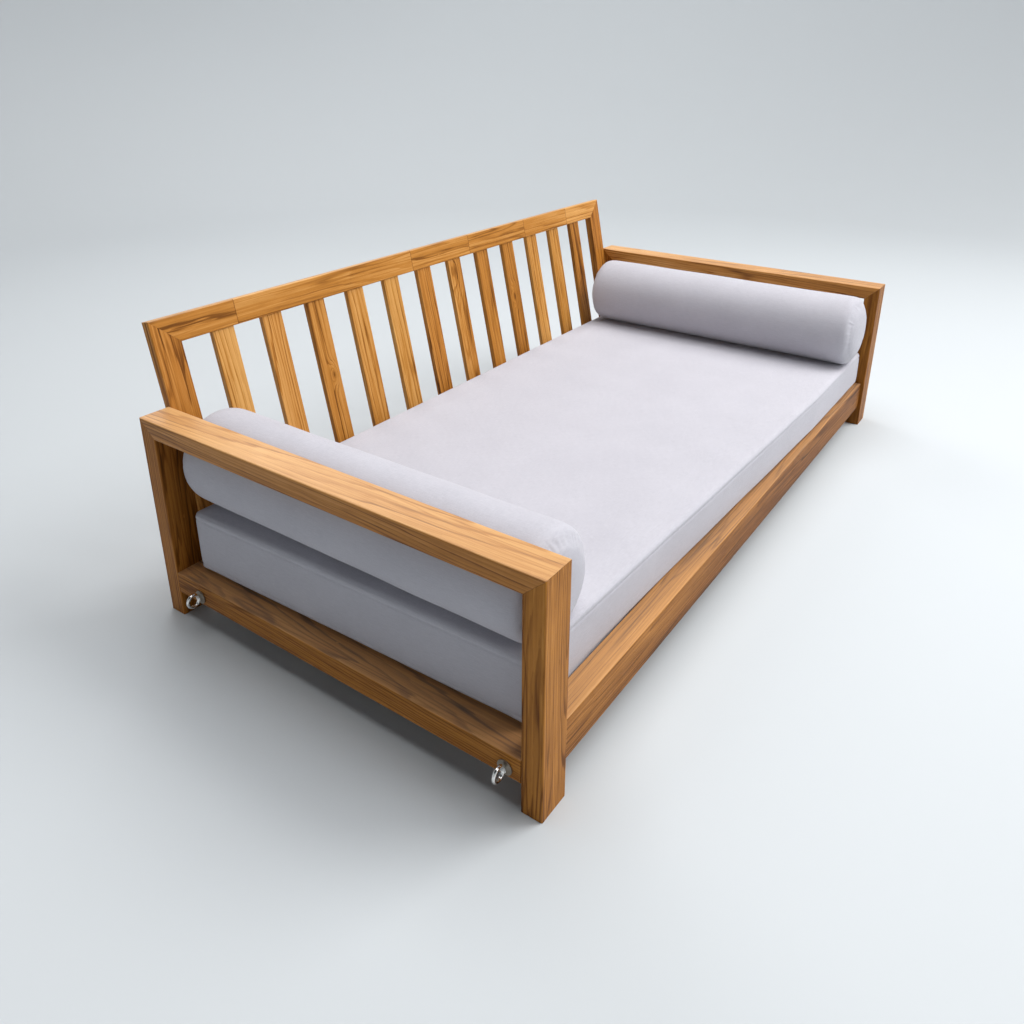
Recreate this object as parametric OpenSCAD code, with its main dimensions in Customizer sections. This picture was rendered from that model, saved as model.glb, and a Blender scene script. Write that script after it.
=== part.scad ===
// Timber daybed with a raked slatted backrest, two open arm frames, a box mattress and two bolsters.
// Millimetres. X runs along the length, -Y is the open front, +Z is up.
// The origin is on the floor, at the centre of the whole daybed's plan.

/* [Overall] */
// Length over the outer faces of the two arms
frame_length = 2000; // [1960:5:2040]
// Depth of each arm, from front face to rear face
arm_depth = 1000; // [990:1:1010]
// Height of the arms
arm_height = 470; // [462:1:500]
// Height of the backrest's top edge
back_height = 650; // [630:1:720]
// Radius of the eased long edges on every timber
arris = 3; // [1:0.5:5]

/* [Arm frames] */
// Width of the arm timbers along X
arm_w = 72; // [66:1:76]
// Thickness of the arm's top rail
arm_rail_t = 40; // [34:1:44]
// Depth of the front posts
front_post_d = 43; // [40:1:50]
// Depth of the rear posts
rear_post_d = 45; // [42:1:50]
// Underside of every rail above the floor
rail_z = 60; // [50:1:70]
// Height of the arm's bottom rail
arm_bottom_h = 50; // [48:1:56]
// Gap in each mitre, which shows as a fine joint line
mitre_gap = 0.3; // [0.1:0.1:0.6]

/* [Front and rear rails] */
// Height of the front and rear rails
rail_h = 86; // [80:1:100]
// Thickness of the front rail
front_rail_t = 52; // [44:1:52]
// Thickness of the rear rail
rear_rail_t = 44; // [40:1:46]
// How far the front rail sits behind the arms' front faces
front_setback = 10; // [6:1:12]
// Front face of the rear rail, behind the arms' front faces
rear_rail_y = 930; // [928:1:934]
// Width of the ledgers that carry the seat slats
ledger_w = 30; // [26:1:34]
// Height of the ledgers
ledger_h = 30; // [26:1:32]

/* [Backrest] */
// Rake of the backrest, in degrees from upright
rake = 11.46; // [10:0.01:12]
// Front face of the backrest at the height of the arms, behind the arms' front faces
back_y = 995; // [990:1:1000]
// Thickness of the backrest's frame
back_t = 24; // [22:1:28]
// Width of the stiles
stile_w = 66; // [60:1:72]
// Width of the top and bottom rails
back_rail_w = 58; // [54:1:62]
// Number of upright slats
back_slat_count = 12; // [12:1:12]
// Width of a slat
back_slat_w = 57; // [50:1:62]
// Thickness of a slat
back_slat_t = 14; // [12:1:16]

/* [Seat slats] */
// Number of seat slats
seat_slat_count = 10; // [10:1:10]
// Width of a seat slat
seat_slat_w = 110; // [90:1:120]
// Thickness of a seat slat
seat_slat_t = 18; // [16:1:20]

/* [Mattress and bolsters] */
// Length of the mattress, which reaches into both arm frames
mattress_l = 1910; // [1880:1:1930]
// Depth of the mattress
mattress_d = 862; // [850:1:864]
// Thickness of the mattress
mattress_t = 149.7; // [140:0.1:155]
// How far the mattress's front swells over the top of the front rail
mattress_swell = 19; // [1:1:19]
// Radius of the left bolster
left_bolster_r = 105; // [100:1:110]
// Radius of the right bolster, which is stuffed fuller
right_bolster_r = 108; // [100:1:112]
// Length of the left bolster
left_bolster_l = 905; // [880:1:910]
// Length of the right bolster
right_bolster_l = 920; // [880:1:925]
// Centre of the left bolster, which leans on its arm
left_bolster_x = -869; // [-872:1:-864]
// Centre of the right bolster, which lies clear of its arm
right_bolster_x = 787; // [780:1:800]
// Thickness of the cushion covers
cover_t = 1.5; // [1:0.1:2]
// Clearance between loose cushions and the frame
rest_gap = 0.3; // [0.3:0.1:0.5]

/* [Eye bolts] */
// Inner radius of an eye
eye_r = 10; // [9.5:0.1:10.5]
// Thickness of the wire in the ring
eye_wire = 7; // [6.5:0.1:7.5]
// Distance from the arm's outer face to the centre of the eye
eye_reach = 18.5; // [18:0.1:20]
// Diameter of the round plate under the eye
eye_plate_d = 30; // [28:1:36]
// Height of the eyes
eye_z = 79; // [78:1:84]
// Front eye behind the arm's front face
front_eye_y = 74; // [70:1:80]
// Rear eye behind the arm's front face
rear_eye_y = 879; // [870:1:885]

/* [Hidden] */

teak = "peru";
teak_dark = "sienna";
steel = "silver";
fabric = "lavender";
foam = "lightyellow";

over = 1;                 // how far a cutting shape runs past the solid it cuts
fit_gap = 0.1;            // radial clearance of dowels, bolts and screws in their holes
round_fn = 48;

// Arm frames
half_l = frame_length / 2;
inner_x = half_l - arm_w;
opening_top = arm_height - arm_rail_t;
rear_post_y = arm_depth - rear_post_d;
bed_z = rail_z + arm_bottom_h;
tongue = [40, 20, 24];    // width, length along the mitre, reach across the mitre
tenon = [20, 28, 24];     // width, length, height of the tenons on an arm's bottom rail

// Front and rear rails
front_rail_back = front_setback + front_rail_t;
rail_top = rail_z + rail_h;
stud_x = inner_x - 46;    // centre of the pocket that a stud ends in
stud_r = 4;
pocket_r = 15;
dowel_r = 5;
dowel_l = 50;
// y, z and the sign of the pocket's open side, for the front rail and then the rear rail
stud_yz = [[30, 103, 1], [964, 103, -1]];
pocket_back = 8;          // how far a pocket runs past its stud
dowel_dz = 28;
ledger_z = bed_z - seat_slat_t - ledger_h;
rear_ledger_y = rear_rail_y - ledger_w;

// Backrest, in its own raked frame: X, depth behind the front face, height above the arms' top
top_s = arris + (back_height - arm_height - arris + arris * sin(rake)) / cos(rake);
foot_s = (rail_top - arm_height) / cos(rake) - 12;
low_rail_s = (rail_top + 10 - arm_height) / cos(rake);
panel_low_s = low_rail_s + back_rail_w;
panel_top_s = top_s - back_rail_w;
panel_half = inner_x - stile_w;
slat_gap = (2 * panel_half - back_slat_count * back_slat_w) / (back_slat_count + 1);
slat_pitch = back_slat_w + slat_gap;
slat_tenon = [45, 9, 14]; // width, thickness, length
back_tongue = [40, 8, 30]; // length along the mitre, thickness, reach across the mitre
bolt_z = [285, 345];      // heights of the bolts that fix each stile to its rear post
bolt_head_depth = 15;
bolt_head_t = 8;
plug_r = 8;               // timber plugs that hide the stile bolts' heads

// The whole daybed's depth, from the arms' front faces to the backrest's rearmost edge
total_depth = back_y + (top_s - arris) * sin(rake) + (back_t - arris) * cos(rake) + arris;

// Seat slats and their screws
seat_slat_gap = (2 * inner_x - seat_slat_count * seat_slat_w) / (seat_slat_count + 1);
seat_slat_pitch = seat_slat_w + seat_slat_gap;
seat_slat_y = front_rail_back + 1;
seat_slat_l = rear_rail_y - 1 - seat_slat_y;
screw_r = 2.2;
screw_head_r = 4.2;
screw_l = 40;
ledger_screw_x = [for (k = [-4 : 2 : 4]) k * seat_slat_pitch]; // in the gaps between seat slats
slat_screw_y = [front_rail_back + ledger_w / 2, rear_rail_y - ledger_w / 2];

// Cushions
mattress_z = bed_z + rest_gap;
mattress_y = front_rail_back + 1;
mattress_top = mattress_z + mattress_t;
mattress_plan_r = 18;
mattress_edge_r = 12;
bolster_sink = 5;         // how far a bolster's round settles into its flat
left_bolster_z = mattress_top + left_bolster_r - bolster_sink;
right_bolster_z = mattress_top + right_bolster_r - bolster_sink;
left_bolster_y = 44;
right_bolster_y = 3;
bolster_edge_r = 48;
// The left bolster leans on the lower inner edge of its arm rail
lean = [-inner_x - left_bolster_x, opening_top - left_bolster_z];
lean_reach = norm(lean) - rest_gap - 0.2;

// Eye bolts
eye_ring_r = eye_r + eye_wire / 2;
eye_land_r = eye_r + 0.3; // a narrow cylindrical land worn inside the ring
eye_shank_r = 4;
eye_plate_t = 2.5;
eye_shank_end = 16;
eye_ys = [front_eye_y, rear_eye_y];

// ---------- Shapes shared by the sub-parts ----------

// Everything is drawn with Y measured from the arms' front faces, then centred here
module centred() {
  translate([0, -total_depth / 2, 0]) children();
}

// A rectangle a by b with its corners rounded
module rounded_rect(a, b, r) {
  translate([r, 0]) square([a - 2 * r, b]);
  translate([0, r]) square([a, b - 2 * r]);
  for (x = [r, a - r], y = [r, b - r])
    translate([x, y]) circle(r = r, $fn = round_fn);
}

// Timbers along X, Y and Z: the two section sizes come first, then the length
module timber_x(d, h, l, r = arris) {
  rotate([90, 0, 90]) linear_extrude(l) rounded_rect(d, h, r);
}
module timber_y(w, h, l, r = arris) {
  translate([0, l, 0]) rotate([90, 0, 0]) linear_extrude(l) rounded_rect(w, h, r);
}
module timber_z(w, d, l, r = arris) {
  linear_extrude(l) rounded_rect(w, d, r);
}

// Round stock along X or Y, centred on the origin's axis
module rod_x(r, l) {
  rotate([0, 90, 0]) cylinder(r = r, h = l, $fn = round_fn);
}
module rod_y(r, l) {
  rotate([-90, 0, 0]) cylinder(r = r, h = l, $fn = round_fn);
}

// A hexagon nut along X, with its hole
module nut_x(across_flats, t, hole_r) {
  difference() {
    rotate([0, 90, 0]) cylinder(r = across_flats / 2 / cos(30), h = t, $fn = 6);
    translate([-over, 0, 0]) rod_x(hole_r, t + 2 * over);
  }
}

// A flat ring along X
module washer_x(r, t, hole_r) {
  difference() {
    rod_x(r, t);
    translate([-over, 0, 0]) rod_x(hole_r, t + 2 * over);
  }
}

// ---------- Arm frames, drawn for the left side ----------

// The Y-Z outline of a front post under its mitre; the post's depth d and the rail set the slope
module post_under_mitre(d, l) {
  slope = arm_rail_t / d;
  drop = mitre_gap / 2 / cos(atan(slope));
  rotate([90, 0, 90]) linear_extrude(l)
    polygon([
      [-over, -over],
      [d + over, -over],
      [d + over, opening_top - slope * over - drop],
      [-over, arm_height + slope * over - drop]
    ]);
}

// The loose tongue in a mitre, grown by gap where it cuts its slot
module mitre_tongue(d, gap = 0) {
  translate([-half_l + arm_w / 2, d / 2, arm_height - arm_rail_t / 2])
    rotate([-atan(arm_rail_t / d), 0, 0])
      cube([tongue[0] + 2 * gap, tongue[1] + 2 * gap, tongue[2] + 2 * gap], center = true);
}

// The rear mitre is the front one seen from behind
module rear_facing() {
  translate([0, arm_depth, 0]) mirror([0, 1, 0]) children();
}

// The slot for a bottom rail's tenon, in the front post's rear face
module tenon_shape(d, gap = 0) {
  translate([
    -half_l + (arm_w - tenon[0]) / 2 - gap,
    d - tenon[1] - gap,
    rail_z + (arm_bottom_h - tenon[2]) / 2 - gap
  ])
    cube([tenon[0] + 2 * gap, tenon[1] + gap + over, tenon[2] + 2 * gap]);
}

module post(d) {
  difference() {
    intersection() {
      translate([-half_l, 0, 0]) timber_z(arm_w, d, arm_height);
      translate([-half_l - over, 0, 0]) post_under_mitre(d, arm_w + 2 * over);
    }
    mitre_tongue(d, fit_gap);
    tenon_shape(d, fit_gap);
  }
}

// Holes for the studs and dowels that hold a cross rail
module cross_rail_holes(row) {
  y = stud_yz[row][0];
  z = stud_yz[row][1];
  translate([-inner_x - 30, y, z]) rod_x(stud_r + fit_gap, 90);
  for (dz = [-dowel_dz, dowel_dz])
    translate([-inner_x - dowel_l / 2 - fit_gap, y, z + dz])
      rod_x(dowel_r + fit_gap, dowel_l + 2 * fit_gap);
}

// Centre of a stile bolt at height z, halfway through the backrest's thickness
function bolt_y(z) = back_y - (arm_height - z) * tan(rake) + back_t / 2 / cos(rake);

module stile_bolt_holes() {
  for (z = bolt_z)
    translate([-inner_x - 46, bolt_y(z), z]) rod_x(stud_r + fit_gap, 46 + stile_w + over);
}

module stile_head_holes() {
  for (z = bolt_z)
    translate([-panel_half - bolt_head_depth, bolt_y(z), z]) rod_x(plug_r, bolt_head_depth + over);
}

module arm_front_post() {
  difference() {
    post(front_post_d);
    cross_rail_holes(0);
  }
}

module arm_rear_post() {
  difference() {
    rear_facing() post(rear_post_d);
    cross_rail_holes(1);
    stile_bolt_holes();
  }
}

module arm_top_rail() {
  front_slope = arm_rail_t / front_post_d;
  rear_slope = arm_rail_t / rear_post_d;
  front_lift = mitre_gap / 2 / sin(atan(front_slope));
  rear_lift = mitre_gap / 2 / sin(atan(rear_slope));
  difference() {
    intersection() {
      translate([-half_l, 0, opening_top]) timber_y(arm_w, arm_rail_t, arm_depth);
      translate([-half_l - over, 0, 0]) rotate([90, 0, 90]) linear_extrude(arm_w + 2 * over)
        polygon([
          [front_post_d + over / front_slope + front_lift, opening_top - over],
          [rear_post_y - over / rear_slope - rear_lift, opening_top - over],
          [arm_depth + over / rear_slope - rear_lift, arm_height + over],
          [-over / front_slope + front_lift, arm_height + over]
        ]);
    }
    mitre_tongue(front_post_d, fit_gap);
    rear_facing() mitre_tongue(rear_post_d, fit_gap);
  }
}

module arm_bottom_rail() {
  difference() {
    union() {
      translate([-half_l, front_post_d, rail_z])
        timber_y(arm_w, arm_bottom_h, rear_post_y - front_post_d);
      tenon_shape(front_post_d);
      rear_facing() tenon_shape(rear_post_d);
    }
    for (y = eye_ys)
      translate([-half_l - over, y, eye_z]) rod_x(eye_shank_r + fit_gap, arm_w + 2 * over);
  }
}

module arm_tongues() {
  mitre_tongue(front_post_d);
  rear_facing() mitre_tongue(rear_post_d);
}

// ---------- Front and rear rails ----------

// Both ends' holes, and pockets that open on the rail's inner face
module cross_rail(row, y, t) {
  stud_y = stud_yz[row][0];
  side = stud_yz[row][2];
  reach = side > 0 ? y + t - stud_y : stud_y - y;
  difference() {
    translate([-inner_x, y, rail_z]) timber_x(t, rail_h, 2 * inner_x);
    for (m = [0, 1]) mirror([m, 0, 0]) {
      cross_rail_holes(row);
      translate([-stud_x, stud_y, stud_yz[row][1]])
        stud_pocket(side, reach + over);
    }
    for (x = ledger_screw_x)
      ledger_screw(row, x, fit_gap);
  }
}

// Half-round pocket with a flat face towards the rail's end, reach deep from its stud to open air
module stud_pocket(side, reach) {
  translate([0, side > 0 ? -pocket_back : -reach, 0])
    intersection() {
      rod_y(pocket_r, reach + pocket_back);
      translate([0, -over, -pocket_r]) cube([pocket_r, reach + pocket_back + 2 * over, 2 * pocket_r]);
    }
}

// A screw from the ledger's inner face into its rail
module ledger_screw(row, x, gap = 0) {
  z = ledger_z + ledger_h / 2;
  y = row == 0 ? front_rail_back + ledger_w : rear_ledger_y;
  translate([x, y, z]) rotate([row == 0 ? 90 : -90, 0, 0]) screw(gap);
}

// A countersunk screw that points down its own +Z, with its head flush at the origin
module screw(gap = 0) {
  cylinder(r = screw_r + gap, h = screw_l + gap, $fn = round_fn);
  cylinder(r1 = screw_head_r + gap, r2 = screw_r + gap, h = 2.5 + gap, $fn = round_fn);
}

// A screw down through the end of seat slat i
module slat_screw(i, y, gap = 0) {
  translate([seat_slat_x(i) + seat_slat_w / 2, y, bed_z]) rotate([180, 0, 0]) screw(gap);
}

module ledger(row) {
  y = row == 0 ? front_rail_back : rear_ledger_y;
  difference() {
    translate([-inner_x + 28, y, ledger_z]) timber_x(ledger_w, ledger_h, 2 * inner_x - 56, 2);
    for (x = ledger_screw_x)
      ledger_screw(row, x, fit_gap);
    for (i = [0 : seat_slat_count - 1])
      slat_screw(i, slat_screw_y[row], fit_gap);
  }
}

// ---------- Backrest ----------

// Places children drawn in the backrest's own frame
module raked() {
  translate([0, back_y, arm_height]) rotate([-rake, 0, 0]) children();
}

// A prism through the backrest's thickness, from an outline in X and height
module through_back(points) {
  translate([0, back_t + over, 0]) rotate([90, 0, 0]) linear_extrude(back_t + 2 * over)
    polygon(points);
}

module back_mitre_tongue(gap = 0) {
  translate([-inner_x + stile_w / 2, back_t / 2, top_s - back_rail_w / 2])
    rotate([0, atan(back_rail_w / stile_w), 0])
      cube([back_tongue[0] + 2 * gap, back_tongue[1] + 2 * gap, back_tongue[2] + 2 * gap], center = true);
}

module left_stile() {
  slope = back_rail_w / stile_w;
  drop = mitre_gap / 2 / cos(atan(slope));
  difference() {
    raked() difference() {
      intersection() {
        translate([-inner_x, 0, foot_s]) timber_z(stile_w, back_t, top_s - foot_s);
        through_back([
          [-inner_x - over, foot_s - over],
          [-panel_half + over, foot_s - over],
          [-panel_half + over, panel_top_s - slope * over - drop],
          [-inner_x - over, top_s + slope * over - drop]
        ]);
      }
      back_mitre_tongue(fit_gap);
      rail_tenon(fit_gap);
    }
    // The foot is cut level, to stand on the rear rail
    translate([-inner_x - over, 0, 0]) cube([stile_w + 2 * over, 2 * arm_depth, rail_top]);
    stile_bolt_holes();
    stile_head_holes();
  }
}

// The tenon on the left end of the bottom rail
module rail_tenon(gap = 0) {
  translate([-panel_half - 30 - gap, back_t / 2 - 4 - gap, low_rail_s + 9 - gap])
    cube([30 + gap + over, 8 + 2 * gap, back_rail_w - 18 + 2 * gap]);
}

// Outline of the tenons or mortises at the slats' ends
module slat_tenons(s, gap = 0) {
  for (i = [0 : back_slat_count - 1])
    slat_tenon_at(i, s, gap);
}

module slat_tenon_at(i, s, gap = 0) {
  translate([
    slat_x(i) + (back_slat_w - slat_tenon[0]) / 2 - gap,
    (back_t - slat_tenon[1]) / 2 - gap,
    s - slat_tenon[2] - gap
  ])
    cube([slat_tenon[0] + 2 * gap, slat_tenon[1] + 2 * gap, 2 * slat_tenon[2] + 2 * gap]);
}

module top_rail_shape() {
  slope = back_rail_w / stile_w;
  lift = mitre_gap / 2 / sin(atan(slope));
  top_x = inner_x + over / slope - lift;
  low_x = panel_half - over / slope - lift;
  difference() {
    intersection() {
      translate([-inner_x, 0, panel_top_s]) timber_x(back_t, back_rail_w, 2 * inner_x);
      through_back([
        [-low_x, panel_top_s - over],
        [low_x, panel_top_s - over],
        [top_x, top_s + over],
        [-top_x, top_s + over]
      ]);
    }
    slat_tenons(panel_top_s, fit_gap);
    for (m = [0, 1]) mirror([m, 0, 0])
      back_mitre_tongue(fit_gap);
  }
}

module bottom_rail_shape() {
  difference() {
    union() {
      translate([-panel_half, 0, low_rail_s]) timber_x(back_t, back_rail_w, 2 * panel_half);
      for (m = [0, 1]) mirror([m, 0, 0]) rail_tenon();
    }
    slat_tenons(panel_low_s, fit_gap);
  }
}

function slat_x(i) = -panel_half + slat_gap + i * slat_pitch;

module back_slat(i) {
  color(teak) centred() raked() {
    translate([slat_x(i), (back_t - back_slat_t) / 2, panel_low_s])
      timber_z(back_slat_w, back_slat_t, panel_top_s - panel_low_s, 2);
    slat_tenon_at(i, panel_low_s);
    slat_tenon_at(i, panel_top_s);
  }
}

// ---------- Seat slats ----------

function seat_slat_x(i) = -inner_x + seat_slat_gap + i * seat_slat_pitch;

module seat_slat(i) {
  color(teak) centred() difference() {
    translate([seat_slat_x(i), seat_slat_y, bed_z - seat_slat_t])
      timber_y(seat_slat_w, seat_slat_t, seat_slat_l, 2);
    for (y = slat_screw_y)
      slat_screw(i, y, fit_gap);
  }
}

// ---------- Eye bolts, drawn for the left side ----------

module eye_bolt(y) {
  translate([-half_l, y, eye_z]) difference() {
    union() {
      // The ring is flattened where it meets its plate
      intersection() {
        translate([-eye_reach, 0, 0]) rotate([90, 0, 0]) rotate_extrude($fn = round_fn)
          translate([eye_ring_r, 0]) circle(d = eye_wire, $fn = round_fn);
        translate([-50 - eye_plate_t, -25, -25]) cube(50);
      }
      translate([-7.5, 0, 0]) rod_x(7, 7.5 - eye_plate_t);
      translate([-7.5, 0, 0]) rod_x(eye_shank_r, 7.5 + arm_w + eye_shank_end);
    }
    translate([-eye_reach, -eye_wire, 0]) rod_y(eye_land_r, 2 * eye_wire);
  }
}

module eye_bolt_part(y, right) {
  color(steel) centred() mirror([right, 0, 0]) eye_bolt(y);
}

// Repeats a left-hand piece at all four eyes
module at_eyes(x) {
  centred() for (m = [0, 1], y = eye_ys)
    mirror([m, 0, 0]) translate([x, y, eye_z]) children();
}

// ---------- Fasteners ----------

// Repeats a left-hand piece at the four ends of the front and rear rails
module at_rail_ends(x) {
  centred() for (m = [0, 1], row = [0, 1])
    mirror([m, 0, 0]) translate([x, stud_yz[row][0], stud_yz[row][1]]) children();
}

// A washer with a flat face for the pocket and a rounded back
module half_moon() {
  difference() {
    intersection() {
      translate([0, -7, 0]) rod_y(pocket_r - 1, 14);
      translate([0, -7 - over, -9]) cube([6, 14 + 2 * over, 18]);
    }
    translate([-over, 0, 0]) rod_x(stud_r + fit_gap, 8);
  }
}

module stile_bolt(z) {
  translate([-panel_half - bolt_head_depth, bolt_y(z), z]) {
    rod_x(6.5, bolt_head_t);
    translate([-stile_w + bolt_head_depth - 45, 0, 0]) rod_x(stud_r, stile_w - bolt_head_depth + 45.5);
  }
}

// A plug that fills the hole over a stile bolt's head, flush with the stile's inner face
module bolt_plug() {
  t = bolt_head_depth - bolt_head_t - fit_gap;
  translate([-t, 0, 0]) rod_x(plug_r - fit_gap, t);
}

// ---------- Cushions ----------

// The mattress shrunk by inset all round: a box with rounded edges, which swells over the front rail
module cushion_box(inset) {
  l = mattress_l - 2 * inset;
  d = mattress_d + mattress_swell - 2 * inset;
  h = mattress_t - 2 * inset;
  r = mattress_edge_r - inset;
  step_z = rail_top + rest_gap - mattress_z;
  translate([-l / 2, mattress_y - mattress_swell + inset, mattress_z + inset]) intersection() {
    rotate([90, 0, 90]) linear_extrude(l) {
      translate([mattress_swell, 0]) rounded_rect(d - mattress_swell, h, r);
      translate([0, step_z]) rounded_rect(d, h - step_z, r);
    }
    timber_y(l, h, d, r);
    timber_z(l, d, h, mattress_plan_r - inset);
  }
}

// A round bolster along Y with rounded ends, centred on its axis at the origin
module bolster_round(radius, length, inset) {
  r = radius - inset;
  e = bolster_edge_r - inset;
  h = length - 2 * inset;
  translate([0, inset, 0]) rotate([-90, 0, 0]) rotate_extrude($fn = 96) {
    square([r - e, h]);
    translate([0, e]) square([r, h - 2 * e]);
    for (z = [e, h - e]) translate([r - e, z]) circle(r = e, $fn = round_fn);
  }
}

// The flat that a bolster settles to on the mattress
module mattress_flat(radius, length, inset) {
  depth = radius - bolster_sink - rest_gap - inset;
  translate([-radius, -over, -2 * radius - depth])
    cube([2 * radius, length + 2 * over, 2 * radius]);
}

module left_bolster(inset) {
  r = left_bolster_r;
  l = left_bolster_l;
  translate([left_bolster_x, left_bolster_y, left_bolster_z]) difference() {
    bolster_round(r, l, inset);
    mattress_flat(r, l, inset);
    // The flat that the arm rail's edge presses into the bolster
    rotate([0, -atan2(lean[1], lean[0]), 0]) translate([lean_reach - inset, -over, -r])
      cube([r, l + 2 * over, 2 * r]);
  }
}

module right_bolster(inset) {
  translate([right_bolster_x, right_bolster_y, right_bolster_z]) difference() {
    bolster_round(right_bolster_r, right_bolster_l, inset);
    mattress_flat(right_bolster_r, right_bolster_l, inset);
  }
}

// ---------- Sub-parts ----------

module left_front_post() { color(teak) centred() arm_front_post(); }
module left_rear_post() { color(teak) centred() arm_rear_post(); }
module left_arm_rail() { color(teak) centred() arm_top_rail(); }
module left_bottom_rail() { color(teak) centred() arm_bottom_rail(); }
module left_mitre_tongues() { color(teak_dark) centred() arm_tongues(); }
module right_front_post() { color(teak) centred() mirror([1, 0, 0]) arm_front_post(); }
module right_rear_post() { color(teak) centred() mirror([1, 0, 0]) arm_rear_post(); }
module right_arm_rail() { color(teak) centred() mirror([1, 0, 0]) arm_top_rail(); }
module right_bottom_rail() { color(teak) centred() mirror([1, 0, 0]) arm_bottom_rail(); }
module right_mitre_tongues() { color(teak_dark) centred() mirror([1, 0, 0]) arm_tongues(); }
module front_rail() { color(teak) centred() cross_rail(0, front_setback, front_rail_t); }
module rear_rail() { color(teak) centred() cross_rail(1, rear_rail_y, rear_rail_t); }
module front_ledger() { color(teak_dark) centred() ledger(0); }
module rear_ledger() { color(teak_dark) centred() ledger(1); }
module back_left_stile() { color(teak) centred() left_stile(); }
module back_right_stile() { color(teak) centred() mirror([1, 0, 0]) left_stile(); }
module back_top_rail() { color(teak) centred() raked() top_rail_shape(); }
module back_bottom_rail() { color(teak) centred() raked() bottom_rail_shape(); }
module back_mitre_tongues() {
  color(teak_dark) centred() raked() for (m = [0, 1]) mirror([m, 0, 0]) back_mitre_tongue();
}
module left_front_eye_bolt() { eye_bolt_part(front_eye_y, 0); }
module left_rear_eye_bolt() { eye_bolt_part(rear_eye_y, 0); }
module right_front_eye_bolt() { eye_bolt_part(front_eye_y, 1); }
module right_rear_eye_bolt() { eye_bolt_part(rear_eye_y, 1); }

module eye_plates() {
  color(steel) at_eyes(-half_l - eye_plate_t)
    washer_x(eye_plate_d / 2, eye_plate_t, eye_shank_r + fit_gap);
}

module eye_washers() {
  color(steel) at_eyes(-inner_x) washer_x(9, 1.6, eye_shank_r + fit_gap);
}

module eye_nuts() {
  color(steel) at_eyes(-inner_x + 1.6) nut_x(13, 6.5, eye_shank_r);
}

module rail_studs() {
  color(steel) at_rail_ends(-inner_x - 30 + fit_gap) rod_x(stud_r, 62);
}

module rail_half_moons() {
  color(steel) at_rail_ends(-stud_x) half_moon();
}

module rail_nuts() {
  color(steel) at_rail_ends(-stud_x + 6) nut_x(13, 6.5, stud_r);
}

module dowels_and_plugs() {
  color(teak_dark) at_rail_ends(-inner_x - dowel_l / 2)
    for (dz = [-dowel_dz, dowel_dz]) translate([0, 0, dz]) rod_x(dowel_r, dowel_l);
  color(teak) centred() for (m = [0, 1], z = bolt_z)
    mirror([m, 0, 0]) translate([-panel_half, bolt_y(z), z]) bolt_plug();
}

module timber_screws() {
  color(steel) centred() {
    for (row = [0, 1], x = ledger_screw_x)
      ledger_screw(row, x);
    for (i = [0 : seat_slat_count - 1], y = slat_screw_y)
      slat_screw(i, y);
  }
}

module back_bolts() {
  color(steel) centred() for (m = [0, 1], z = bolt_z) mirror([m, 0, 0]) stile_bolt(z);
}

module mattress_cover() {
  color(fabric) centred() difference() {
    cushion_box(0);
    cushion_box(cover_t);
  }
}
module mattress_core() { color(foam) centred() cushion_box(cover_t); }

module left_bolster_cover() {
  color(fabric) centred() difference() {
    left_bolster(0);
    left_bolster(cover_t);
  }
}
module left_bolster_core() { color(foam) centred() left_bolster(cover_t); }

module right_bolster_cover() {
  color(fabric) centred() difference() {
    right_bolster(0);
    right_bolster(cover_t);
  }
}
module right_bolster_core() { color(foam) centred() right_bolster(cover_t); }

left_front_post();
left_rear_post();
left_arm_rail();
left_bottom_rail();
left_mitre_tongues();
right_front_post();
right_rear_post();
right_arm_rail();
right_bottom_rail();
right_mitre_tongues();
front_rail();
rear_rail();
front_ledger();
rear_ledger();
back_left_stile();
back_right_stile();
back_top_rail();
back_bottom_rail();
back_mitre_tongues();
back_slat(0);  // back_slat_01
back_slat(1);  // back_slat_02
back_slat(2);  // back_slat_03
back_slat(3);  // back_slat_04
back_slat(4);  // back_slat_05
back_slat(5);  // back_slat_06
back_slat(6);  // back_slat_07
back_slat(7);  // back_slat_08
back_slat(8);  // back_slat_09
back_slat(9);  // back_slat_10
back_slat(10);  // back_slat_11
back_slat(11);  // back_slat_12
seat_slat(0);  // seat_slat_01
seat_slat(1);  // seat_slat_02
seat_slat(2);  // seat_slat_03
seat_slat(3);  // seat_slat_04
seat_slat(4);  // seat_slat_05
seat_slat(5);  // seat_slat_06
seat_slat(6);  // seat_slat_07
seat_slat(7);  // seat_slat_08
seat_slat(8);  // seat_slat_09
seat_slat(9);  // seat_slat_10
left_front_eye_bolt();
left_rear_eye_bolt();
right_front_eye_bolt();
right_rear_eye_bolt();
eye_plates();
eye_washers();
eye_nuts();
rail_studs();
rail_half_moons();
rail_nuts();
dowels_and_plugs();
timber_screws();
back_bolts();
mattress_cover();
mattress_core();
left_bolster_cover();
left_bolster_core();
right_bolster_cover();
right_bolster_core();
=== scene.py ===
import math

import bmesh
import bpy
import numpy as np
from mathutils import Matrix, Vector, noise


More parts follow.
